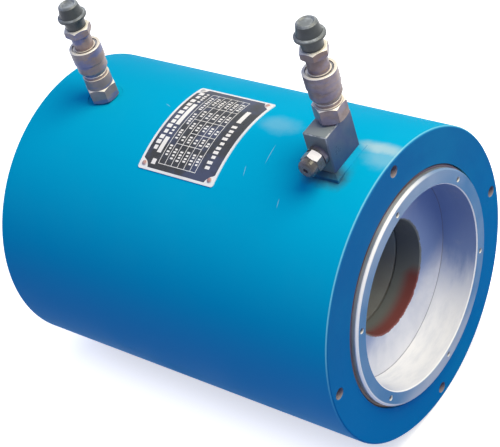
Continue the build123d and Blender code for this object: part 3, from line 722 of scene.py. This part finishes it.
def dressZinc(name, fineness, brownShare, blueReflectionShare):
    material, tree, shader = startMaterial(name)
    upright = aboutNozzleAxis(tree)
    marks = placeGroup(tree, turnedMarks, Vector=upright, Fineness=fineness)
    brown = stainOf(tree, placeOf(tree), *zinc["tarnish"])["Mask"]
    colour = mixOf(tree, timesOf(tree, brown, brownShare), zinc["bright"], zinc["brown"])
    # Painted reflection: bands of blue lie round the nozzle, wider than they are high
    x, y, z = partsOf(tree, upright)
    share = zinc["reflectionBandShare"]
    flattened = vectorOf(tree, timesOf(tree, x, share), timesOf(tree, y, share), z)
    blue = stainOf(tree, flattened, *zinc["bands"])["Mask"]
    colour = mixOf(tree, timesOf(tree, blue, blueReflectionShare), colour, zinc["blue"])
    # Painted light: turned faces that point up are made brighter than the sides
    top = timesOf(tree, upwardOf(tree, *zinc["litTopFacing"]), zinc["litTopShare"])
    colour = mixOf(tree, top, colour, zinc["top"])
    feed(tree, shader.inputs["Base Color"], colour)
    shader.inputs["Metallic"].default_value = zinc["metal"]
    roughen(tree, shader, marks["Smear"], *zinc["roughness"])
    emboss(tree, shader, marks["Rings"], zinc["ringDepth"])
    return material


# Rubber of the dust caps, seals and wiper

rubber = {
    "black": (0.020, 0.026, 0.027, 1),
    # dust and painted sheen on faces that point up
    "dusty": (0.36, 0.40, 0.46, 1),
    "roughness": (0.36, 0.62),
    "patches": (110.0, 0.40, 0.62),
    "patchShare": 0.55,
    "dustAndSheenFacing": (0.3, 1.0),
    "dustAndSheenOnTop": 0.85,
    "dustAndSheenOnSides": 0.06,
    "grain": (900.0, 0.00003),
}


def dressRubber(name, dustAndSheen):
    material, tree, shader = startMaterial(name)
    place = placeOf(tree)
    # Dust and painted sheen: faces that point up are paler, in patches
    upward = upwardOf(tree, *rubber["dustAndSheenFacing"])
    dustAndSheenShare = spreadOf(tree, upward, rubber["dustAndSheenOnTop"], rubber["dustAndSheenOnSides"])
    patches = stainOf(tree, place, *rubber["patches"])["Mask"]
    patchy = spreadOf(tree, patches, rubber["patchShare"], 1 - rubber["patchShare"])
    dust = timesOf(tree, dustAndSheenShare, patchy)
    colour = mixOf(tree, timesOf(tree, dust, dustAndSheen), rubber["black"], rubber["dusty"])
    feed(tree, shader.inputs["Base Color"], colour)
    feed(tree, shader.inputs["Roughness"], pickOf(tree, dust, *rubber["roughness"]))
    grain(tree, shader, place, *rubber["grain"])
    return material


wiperTint = {
    "brown": (0.060, 0.022, 0.024, 1),
    "violet": (0.085, 0.060, 0.110, 1),
    "roughness": (0.42, 0.65),
    "patches": (30.0, 0.40, 0.62),
}


def dressWiper():
    material, tree, shader = startMaterial("wiperRubber")
    place = placeOf(tree)
    cloud = stainOf(tree, place, *wiperTint["patches"])
    colour = mixOf(tree, cloud["Mask"], wiperTint["brown"], wiperTint["violet"])
    feed(tree, shader.inputs["Base Color"], colour)
    roughen(tree, shader, cloud["Soft"], *wiperTint["roughness"])
    grain(tree, shader, place, *rubber["grain"])
    return material


# Blackened steel of the valve block

blockSteel = {
    "black": (0.140, 0.165, 0.168, 1),
    # painted reflection on the faces that look along the jack
    "blue": (0.038, 0.055, 0.160, 1),
    # painted light on the top
    "top": (0.230, 0.270, 0.300, 1),
    # painted glints on the upper edges
    "edge": (0.62, 0.66, 0.70, 1),
    "roughness": (0.27, 0.45),
    "patches": (45.0, 0.4, 0.65),
    "patchShare": 0.2,
    "litTopFacing": (0.6, 0.9),
    "edgeNoise": (220.0, 3.0, 0.6),
    "edgeWidth": 0.0013,
    "edgeFade": (0.0004, -0.0002),
    "edgeReach": 0.010,
    "edgeShare": 0.8,
    "brokenNoise": (140.0, 2.0, 0.5),
    "brokenFade": (0.34, 0.50),
    "grain": (500.0, 0.00004),
}


def edgeGlints(tree, place):
    # Near two faces at once is near an edge: the second smallest of the three gaps is small
    low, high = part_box("valve_block")
    gaps = []
    for part, start, end in zip(partsOf(tree, place), low, high):
        gap = leastOf(tree, minusOf(tree, part, start), minusOf(tree, end, part))
        gaps.append(sizeOf(tree, gap))
    smaller = leastOf(tree, gaps[0], gaps[1])
    larger = mostOf(tree, gaps[0], gaps[1])
    second = mostOf(tree, smaller, leastOf(tree, larger, gaps[2]))
    width = timesOf(tree, noiseOf(tree, place, *blockSteel["edgeNoise"]), blockSteel["edgeWidth"])
    glint = fadeOf(tree, minusOf(tree, second, width), *blockSteel["edgeFade"])
    # The painted glints are broken, and only the upper edges have them
    broken = noiseOf(tree, place, *blockSteel["brokenNoise"])
    broken = fadeOf(tree, broken, *blockSteel["brokenFade"])
    height = minusOf(tree, partsOf(tree, place)[2], high.z - blockSteel["edgeReach"])
    upper = fadeOf(tree, height, 0.0, blockSteel["edgeReach"])
    return timesOf(tree, glint, broken, upper, blockSteel["edgeShare"])


def dressBlock():
    material, tree, shader = startMaterial("blackenedBlock")
    place = placeOf(tree)
    cloud = stainOf(tree, place, *blockSteel["patches"])
    # Painted reflection: the faces that look along the jack are bluer
    along = sizeOf(tree, facingOf(tree)[0])
    patchy = spreadOf(tree, cloud["Mask"], blockSteel["patchShare"], 1 - blockSteel["patchShare"])
    colour = mixOf(tree, timesOf(tree, along, patchy), blockSteel["black"], blockSteel["blue"])
    # Painted light: faces that point up are paler
    colour = mixOf(tree, upwardOf(tree, *blockSteel["litTopFacing"]), colour, blockSteel["top"])
    # Painted highlight: broken glints on the block's upper edges
    colour = mixOf(tree, edgeGlints(tree, place), colour, blockSteel["edge"])
    feed(tree, shader.inputs["Base Color"], colour)
    roughen(tree, shader, cloud["Soft"], *blockSteel["roughness"])
    grain(tree, shader, place, *blockSteel["grain"])
    return material


# The relief valve's cap, with a painted reflection on one flat of its hexagon

capSteel = {
    "black": (0.070, 0.066, 0.068, 1),
    "blue": (0.085, 0.085, 0.150, 1),
    # painted reflection on one flat
    "flat": (0.80, 0.79, 0.86, 1),
    "roughness": (0.18, 0.34),
    "patches": (90.0, 0.4, 0.7),
    "flatLean": radians(24.5),
    "flatFacing": (0.990, 0.996),
    "flatMiddle": 0.01125,
    "flatHalf": 0.0046,
    "grain": (700.0, 0.00003),
}


def flatReflection(tree, place):
    # Painted reflection: one flat of the hexagon, by the way it faces, is made bright
    x, y, z = facingOf(tree)
    lean = capSteel["flatLean"]
    towards = spreadOf(tree, x, sin(lean), timesOf(tree, z, cos(lean)))
    facing = fadeOf(tree, towards, *capSteel["flatFacing"])
    # Collar and nose face the same way here and there, so the mask stops at the hexagon's ends
    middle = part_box("relief_cap")[0].y + capSteel["flatMiddle"]
    along = sizeOf(tree, minusOf(tree, partsOf(tree, place)[1], middle))
    return timesOf(tree, facing, isLess(tree, along, capSteel["flatHalf"]))


def dressReliefCap():
    material, tree, shader = startMaterial("blackenedCap")
    place = placeOf(tree)
    cloud = stainOf(tree, place, *capSteel["patches"])
    colour = mixOf(tree, cloud["Mask"], capSteel["black"], capSteel["blue"])
    colour = mixOf(tree, flatReflection(tree, place), colour, capSteel["flat"])
    feed(tree, shader.inputs["Base Color"], colour)
    roughen(tree, shader, cloud["Soft"], *capSteel["roughness"])
    grain(tree, shader, place, *capSteel["grain"])
    return material


# Small metal parts, in one recipe: clean colour, dull colour, roughness when clean and when dull

smallMetals = {
    "machinedSteel": ((0.62, 0.62, 0.64, 1), (0.42, 0.42, 0.45, 1), (0.22, 0.42)),
    "springWire": ((0.42, 0.42, 0.45, 1), (0.22, 0.22, 0.24, 1), (0.27, 0.47)),
    "copper": ((0.62, 0.20, 0.12, 1), (0.30, 0.08, 0.05, 1), (0.30, 0.50)),
    "bronze": ((0.60, 0.38, 0.18, 1), (0.40, 0.24, 0.10, 1), (0.32, 0.52)),
}
smallPatches = (180.0, 0.35, 0.65)
smallGrain = (1200.0, 0.00002)


def dressSmallMetal(name):
    clean, dull, roughness = smallMetals[name]
    material, tree, shader = startMaterial(name)
    place = placeOf(tree)
    cloud = stainOf(tree, place, *smallPatches)
    feed(tree, shader.inputs["Base Color"], mixOf(tree, cloud["Mask"], clean, dull))
    shader.inputs["Metallic"].default_value = 1.0
    roughen(tree, shader, cloud["Soft"], *roughness)
    grain(tree, shader, place, *smallGrain)
    return material


# Rivets of the nameplate, dull copper in the middle of each head

rivetHead = {
    "middle": (0.46, 0.20, 0.18, 1),
    "rim": (0.72, 0.70, 0.72, 1),
    "grey": (0.42, 0.44, 0.48, 1),
    "roughness": (0.37, 0.55),
    "patches": (400.0, 0.35, 0.65),
    "patchShare": 0.3,
    "middleFacing": (0.62, 0.86),
}


def dressRivets():
    material, tree, shader = startMaterial("dullRivets")
    place = placeOf(tree)
    x, y, z = partsOf(tree, place)
    facingX, facingY, facingZ = facingOf(tree)
    outward = spreadOf(tree, facingY, y, timesOf(tree, facingZ, z))
    outward = overOf(tree, outward, reachOf(tree, y, z))
    # The one nearer the base on the far side is grey
    nearBase = isLess(tree, x, middleOf("nameplate").x)
    farCorner = timesOf(tree, nearBase, isMore(tree, y, 0.0))
    middle = mixOf(tree, farCorner, rivetHead["middle"], rivetHead["grey"])
    cloud = stainOf(tree, place, *rivetHead["patches"])
    patchy = timesOf(tree, cloud["Mask"], rivetHead["patchShare"])
    middle = mixOf(tree, patchy, middle, rivetHead["rim"])
    onMiddle = fadeOf(tree, outward, *rivetHead["middleFacing"])
    feed(tree, shader.inputs["Base Color"], mixOf(tree, onMiddle, rivetHead["rim"], middle))
    roughen(tree, shader, cloud["Soft"], *rivetHead["roughness"])
    grain(tree, shader, place, *smallGrain)
    return material


# Nameplate, bare sheet with a printed table that says nothing

plate = {
    "silver": (0.92, 0.92, 0.93, 1),
    "silverDull": (0.78, 0.80, 0.84, 1),
    "field": (0.024, 0.028, 0.038, 1),
    "fieldBlue": (0.045, 0.060, 0.130, 1),
    "white": (0.90, 0.88, 0.88, 1),
    "roughness": (0.32, 0.5),
    "metal": 0.10,
    "patches": (50.0, 0.4, 0.7),
    "inkPatches": (35.0, 0.42, 0.62),
    "fieldRoughness": (0.25, 0.40),
    "markRoughness": (0.35, 0.50),
    "border": 0.0024,
    "notch": 0.0105,
    "fieldBands": 96,
    "bandWidth": 0.004,
    "ruleWidth": 0.00055,
    "printLift": 0.00004,
    "markLift": 0.00003,
}


def dressPlate():
    material, tree, shader = startMaterial("plateSheet")
    cloud = stainOf(tree, placeOf(tree), *plate["patches"])
    colour = mixOf(tree, cloud["Mask"], plate["silver"], plate["silverDull"])
    feed(tree, shader.inputs["Base Color"], colour)
    shader.inputs["Metallic"].default_value = plate["metal"]
    roughen(tree, shader, cloud["Soft"], *plate["roughness"])
    return material


def dressInk(name, first, second, roughness):
    material, tree, shader = startMaterial(name)
    cloud = stainOf(tree, placeOf(tree), *plate["inkPatches"])
    feed(tree, shader.inputs["Base Color"], mixOf(tree, cloud["Mask"], first, second))
    roughen(tree, shader, cloud["Soft"], *roughness)
    return material


def plateFrame():
    # The plate's own grid: along the jack from the base, and round it from the near side
    low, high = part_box("nameplate")
    corners = [vertex.co for vertex in nodes["nameplate"].data.vertices]
    outer = max(sqrt(corner.y ** 2 + corner.z ** 2) for corner in corners)
    angles = [atan2(corner.y, corner.z) for corner in corners]
    return low.x, high.x, min(angles), max(angles), outer


def onPlate(grid, along, around, lift):
    baseX, faceX, firstAngle, lastAngle, outer = grid
    angle = firstAngle + around / outer
    radius = outer + lift
    return Vector((baseX + along, sin(angle) * radius, cos(angle) * radius))


def joinBands(faces, first, count):
    for band in range(count):
        k = first + 2 * band
        faces.append((k, k + 1, k + 3, k + 2))


def addPatch(points, faces, grid, box, lift, bands=None):
    # A rectangle bent with the plate: along from, around from, along to, around to
    alongFrom, aroundFrom, alongTo, aroundTo = box
    bands = bands or int((aroundTo - aroundFrom) / plate["bandWidth"]) + 1
    first = len(points)
    for i in range(bands + 1):
        around = aroundFrom + (aroundTo - aroundFrom) * i / bands
        points += [onPlate(grid, alongFrom, around, lift), onPlate(grid, alongTo, around, lift)]
    joinBands(faces, first, bands)


def meshPiece(name, points, faces, material):
    mesh = bpy.data.meshes.new(name)
    mesh.from_pydata(points, [], faces)
    mesh.materials.append(material)
    mesh.validate()
    piece = bpy.data.objects.new(name, mesh)
    bpy.context.scene.collection.objects.link(piece)
    for polygon in mesh.polygons:
        polygon.use_smooth = True
    return piece


def makeField(grid, length, width):
    # The dark field keeps clear of the border and of a round notch at each corner
    border, notch = plate["border"], plate["notch"]

    def insetAt(around):
        inset = border
        for edge in (0.0, width):
            off = abs(around - edge)
            if off < notch:
                inset = max(inset, sqrt(notch ** 2 - off ** 2))
        return inset

    points, faces = [], []
    bands, lift = plate["fieldBands"], plate["printLift"]
    for i in range(bands + 1):
        around = border + (width - 2 * border) * i / bands
        inset = insetAt(around)
        points += [onPlate(grid, inset, around, lift), onPlate(grid, length - inset, around, lift)]
    joinBands(faces, 0, bands)
    return points, faces


table = {
    # distances from the plate's edge nearer the base, where the ruled lines lie
    "rows": [0.0195, 0.0265, 0.0335, 0.0405, 0.0475, 0.0545, 0.0605],
    "sideMargin": 0.0085,
    # rules across the rows: share of the table's width, first cell row, last line
    "crossRules": [(0.25, 2, 5), (0.40, 3, 6), (0.58, 2, 6), (0.79, 2, 6)],
    # height, width and spacing of the marks in each kind of line
    "titleMarks": (0.0056, 0.0030, 0.0019),
    "stripMarks": (0.0052, 0.0042, 0.0017),
    "blankMarks": (0.0034, 0.0019, 0.0013),
    "cellMarks": (0.0032, 0.0017, 0.0012),
    "titleX": 0.0695,
    "titleInset": 0.006,
    "titleEnd": 0.60,
    "titleBar": (0.64, 0.80),
    "titleBarHigh": 0.0048,
    "stripX": 0.0078,
    "stripInset": 0.012,
    "stripOver": 0.002,
    # the line of blanks: marks and bare bars, from one share of the plate's width to another
    "blankX": 0.0142,
    "blankHigh": 0.0045,
    "blankWords": [(0.36, 0.45), (0.77, 0.93)],
    "blankBars": [(0.06, 0.11), (0.17, 0.33), (0.47, 0.74)],
    # marks in the first row of cells and in the others, as shares of the table's width
    "headCells": [(0.10, 0.24), (0.30, 0.44), (0.50, 0.66), (0.72, 0.95)],
    "cells": [(0.06, 0.20), (0.28, 0.37), (0.44, 0.54), (0.62, 0.73), (0.82, 0.96)],
    "cellShift": 0.01,
}


def makeMarks(grid, width):
    points, faces = [], []
    lift = plate["printLift"] + plate["markLift"]
    rows, rule = table["rows"], plate["ruleWidth"] / 2
    bottom, top = table["sideMargin"], width - table["sideMargin"]
    span = top - bottom

    def bar(alongFrom, aroundFrom, alongTo, aroundTo, bands=None):
        addPatch(points, faces, grid, (alongFrom, aroundFrom, alongTo, aroundTo), lift, bands)

    def marks(kind, along, start, end, phase=0):
        # Uneven heights and gaps make the row look like print without being any
        high, size, gap = table[kind]
        around, k = start, phase
        while around + size < end:
            cut = 0.75 + 0.25 * sin(k * 2.3)
            bar(along - high / 2 * cut, around, along + high / 2, around + size, 1)
            around += size + gap * (1.1 + 0.3 * sin(k * 1.7))
            k += 1

    for along in rows:
        bar(along - rule, bottom, along + rule, top)
    for share, first, last in table["crossRules"]:
        around = bottom + span * share
        bar(rows[first - 1], around - rule, rows[last], around + rule)
    for around in (bottom, top):
        bar(rows[0], around - rule, rows[-1], around + rule)

    titleX, half = table["titleX"], table["titleBarHigh"] / 2
    marks("titleMarks", titleX, bottom + table["titleInset"], width * table["titleEnd"])
    start, end = table["titleBar"]
    bar(titleX - half, width * start, titleX + half, width * end)
    stripStart, stripEnd = bottom + table["stripInset"], top + table["stripOver"]
    marks("stripMarks", table["stripX"], stripStart, stripEnd, 2)
    blankX, half = table["blankX"], table["blankHigh"] / 2
    for start, end in table["blankWords"]:
        marks("blankMarks", blankX, width * start, width * end, 1)
    for start, end in table["blankBars"]:
        bar(blankX - half, width * start, blankX + half, width * end)

    cells = [(0, start, end) for start, end in table["headCells"]]
    for row in range(1, len(rows) - 1):
        shift = table["cellShift"] * (row % 2)
        cells += [(row, start + shift, end) for start, end in table["cells"]]
    for k, (row, start, end) in enumerate(cells):
        along = (rows[row] + rows[row + 1]) / 2
        marks("cellMarks", along, bottom + span * start, bottom + span * end, k)
    return points, faces


def printPlate():
    grid = plateFrame()
    baseX, faceX, firstAngle, lastAngle, outer = grid
    length, width = faceX - baseX, (lastAngle - firstAngle) * outer
    fieldInk = dressInk("darkInk", plate["field"], plate["fieldBlue"], plate["fieldRoughness"])
    whiteInk = dressInk("barePrint", plate["white"], plate["silver"], plate["markRoughness"])
    points, faces = makeField(grid, length, width)
    field = meshPiece("nameplate_field", points, faces, fieldInk)
    points, faces = makeMarks(grid, width)
    marks = meshPiece("nameplate_marks", points, faces, whiteInk)
    for piece in (field, marks):
        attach(piece, "jack")
    print("nameplate printed:", len(faces), "marks")


# Materials on the CAD nodes

def dressNozzle(letter):
    # The advance nozzle has more painted blue reflection, the return nozzle more brown tarnish
    def both(*stems):
        return [stem + "_" + letter for stem in stems]

    brown, blue = zinc["shares"][letter]
    bodyBrown = brown - zinc["bodyLessBrown"]
    bodyZinc = dressZinc("zincBody_" + letter, zinc["bodyFineness"], bodyBrown, blue)
    sleeveZinc = dressZinc("zincSleeve_" + letter, zinc["sleeveFineness"], brown, blue)
    coat(bodyZinc, *both("adapter", "socket_body", "plug_body"))
    coat(sleeveZinc, *both("coupler_sleeve"))
    coat(copper, *both("sealing_washer"))
    coat(steel, *both("lock_balls", "socket_poppet", "plug_poppet", "plug_spring_seat"))
    coat(wire, *both("sleeve_stop_ring", "sleeve_spring"))
    coat(wire, *both("socket_poppet_spring", "plug_poppet_spring"))
    coat(sealRubber, *both("nose_seal"))
    coat(capRubber, *both("dust_cap"))


coat(paintBlue(), "barrel", "gland_ring")
coat(dressRam(), "ram")
coat(dressTube(), "centre_tube")
coat(dressBlock(), "valve_block")
coat(dressReliefCap(), "relief_cap")
coat(dressPlate(), "nameplate")
sealRubber = dressRubber("sealRubber", 0.2)
capRubber = dressRubber("capRubber", 1.0)
steel = dressSmallMetal("machinedSteel")
wire = dressSmallMetal("springWire")
copper = dressSmallMetal("copper")
coat(dressWiper(), "wiper")
coat(sealRubber, "tube_static_ring", "plate_static_ring", "block_foot_ring")
coat(sealRubber, "rod_seal", "piston_seal", "inner_seal")
coat(dressSmallMetal("bronze"), "rod_guide_ring", "piston_guide_rings", "inner_guide_ring")
coat(steel, "seal_plate", "relief_seat", "relief_poppet")
coat(wire, "relief_spring")
coat(dressRivets(), "nameplate_rivets")
for letter in "ab":
    dressNozzle(letter)
printPlate()
print("finishes placed")


# Springs named by the joints: each is copied onto the jack's body, and its CAD part hidden

def makeSprings():
    for joint in frame["record"]["behaviour"]["joints"]:
        for entry in joint.get("deforming_nodes", []):
            node, letter = entry["node"], entry["mode"][-1]
            index = "xyz".index(letter)
            axis, anchor = [0.0, 0.0, 0.0], list(middleOf(node))
            axis[index] = 1.0
            anchor[index] = entry["fixed_end_" + letter + "_m"]
            coil = bpy.data.objects.new(node + "_coil", nodes[node].data.copy())
            bpy.context.scene.collection.objects.link(coil)
            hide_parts(node)
            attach(coil, "jack")
            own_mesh(coil)
            print("spring follows its joint:", coil.name)


makeSprings()


# Floor, light and camera

studio = {
    "floorSize": 6.0,
    "floorGrey": (0.72, 0.72, 0.72, 1),
    "floorShade": (0.20, 0.26, 0.46, 1),
    "floorGlow": 0.60,
    # half of the shadow's width, and how far outside it the ground still shows it
    "shadowHalf": 0.075,
    "shadowReach": 0.060,
    "white": (1, 1, 1, 1),
    "fill": (0.40, 0.54, 1.0, 1),
    "fillStrength": 0.50,
    "lampPlace": (1.00, 0.35, 1.50),
    "lampAim": (0.18, 0.0, 0.0),
    "lampSize": 1.2,
    "lampWatts": 32.0,
    "lampColour": (1.0, 0.90, 0.60),
}


def seenDirectly(tree):
    # One for what the camera sees, also in metal or through glass
    path = tree.nodes.new("ShaderNodeLightPath").outputs
    clear = mostOf(tree, path["Is Glossy Ray"], path["Is Transmission Ray"])
    return mostOf(tree, path["Is Camera Ray"], clear)


def makeFloor():
    half, low = studio["floorSize"] / 2, barrelLow.z
    points = [(-half, -half, low), (half, -half, low), (half, half, low), (-half, half, low)]
    material, tree, shader = startMaterial("paleFloor")
    tree.nodes.remove(shader)
    seen = seenDirectly(tree)
    diffuse = tree.nodes.new("ShaderNodeBsdfDiffuse")
    feed(tree, diffuse.inputs["Color"], mixOf(tree, seen, studio["floorShade"], studio["floorGrey"]))
    # The glow grows away from the jack, so that only the ground close by shows its shadow
    x, y, z = partsOf(tree, placeOf(tree))
    outX = minusOf(tree, sizeOf(tree, minusOf(tree, x, barrelFace / 2)), barrelFace / 2)
    outY = minusOf(tree, sizeOf(tree, y), studio["shadowHalf"])
    away = reachOf(tree, mostOf(tree, outX, 0.0), mostOf(tree, outY, 0.0))
    level = fadeOf(tree, away, 0.0, studio["shadowReach"], studio["floorGlow"], 1.0)
    glow = tree.nodes.new("ShaderNodeEmission")
    feed(tree, glow.inputs["Strength"], timesOf(tree, seen, level))
    both = tree.nodes.new("ShaderNodeAddShader")
    tree.links.new(diffuse.outputs[0], both.inputs[0])
    tree.links.new(glow.outputs[0], both.inputs[1])
    tree.links.new(both.outputs[0], tree.nodes["Material Output"].inputs["Surface"])
    floor = meshPiece("floor", points, [(0, 1, 2, 3)], material)


def makeSky():
    world = bpy.data.worlds.new("studioSky")
    bpy.context.scene.world = world
    world.use_nodes = True
    tree = world.node_tree
    shader = tree.nodes["Background"]
    seen = seenDirectly(tree)
    feed(tree, shader.inputs["Color"], mixOf(tree, seen, studio["fill"], studio["white"]))
    feed(tree, shader.inputs["Strength"], pickOf(tree, seen, studio["fillStrength"], 1.0))


def makeLamp():
    lamp = bpy.data.lights.new("key", "AREA")
    lamp.size = studio["lampSize"]
    lamp.energy = studio["lampWatts"]
    lamp.color = studio["lampColour"]
    holder = bpy.data.objects.new("key", lamp)
    bpy.context.scene.collection.objects.link(holder)
    place, aim = Vector(studio["lampPlace"]), Vector(studio["lampAim"])
    holder.location = place
    holder.rotation_mode = "QUATERNION"
    holder.rotation_quaternion = (aim - place).to_track_quat("-Z", "Y")
    holder.visible_camera = False


# The photo's camera, fitted to the jack's rims, holes and nozzles

camera = {
    "place": (0.92677, -0.66667, 0.88181),
    "right": (0.79564, 0.55026, -0.25332),
    "down": (0.23257, -0.66361, -0.71100),
    "forward": (-0.55934, 0.50679, -0.65598),
    "sensor": 36.0,
    "lens": 101.96,
    "sees": (0.05, 50.0),
}


def makeCamera():
    data = bpy.data.cameras.new("photoCamera")
    data.sensor_width = camera["sensor"]
    data.lens = camera["lens"]
    data.clip_start, data.clip_end = camera["sees"]
    holder = bpy.data.objects.new("photoCamera", data)
    bpy.context.scene.collection.objects.link(holder)
    right, down, forward = (Vector(camera[key]) for key in ("right", "down", "forward"))
    turn = Matrix((right, -down, -forward)).transposed().to_4x4()
    holder.matrix_world = Matrix.Translation(Vector(camera["place"])) @ turn
    bpy.context.scene.camera = holder


makeFloor()
makeSky()
makeLamp()
makeCamera()
bpy.context.scene.view_settings.view_transform = "Standard"
print("studio set")
